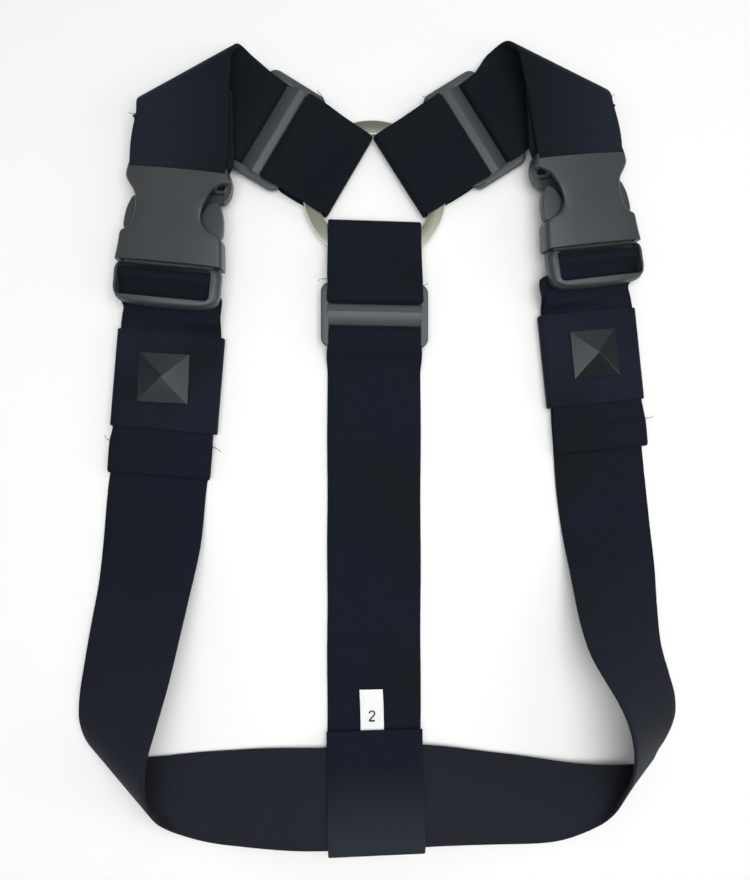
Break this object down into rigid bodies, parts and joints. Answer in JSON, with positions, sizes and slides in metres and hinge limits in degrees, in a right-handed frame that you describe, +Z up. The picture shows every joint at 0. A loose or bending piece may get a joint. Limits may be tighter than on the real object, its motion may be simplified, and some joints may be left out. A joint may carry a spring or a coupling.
{
  "type": "posture corrector",
  "caption": "Strap harness laid flat: a steel ring joins folded shoulder straps and a back strap, with sliders, side-release buckles and a loop of webbing for the waist",
  "frame": {"origin": "middle of the bounding box in plan, on the surface that the harness lies on", "axes": "+X to the right as the harness is seen from above, +Y from the waist towards the shoulders, +Z up from the surface"},
  "size_m": [0.312, 0.4212, 0.038],
  "materials": {
    "webbing": "dark navy black woven webbing",
    "plastic": "dark grey satin moulding",
    "stud": "dark satin moulding",
    "steel": "warm grey satin plate",
    "label": "white satin ribbon"
  },
  "bodies": {
    "root": {"steel_ring": "steel", "back_strap": "webbing", "lower_strap": "webbing", "shoulder_strap_left": "webbing", "shoulder_strap_right": "webbing", "keeper_left": "webbing", "keeper_right": "webbing", "slider_left": "plastic", "slider_right": "plastic", "slider_back": "plastic", "buckle_socket_left": "plastic", "buckle_socket_right": "plastic", "buckle_prongs_left": "plastic", "buckle_prongs_right": "plastic", "stud_left": "stud", "stud_right": "stud", "size_label": "label"}
  },
  "joints": []
}
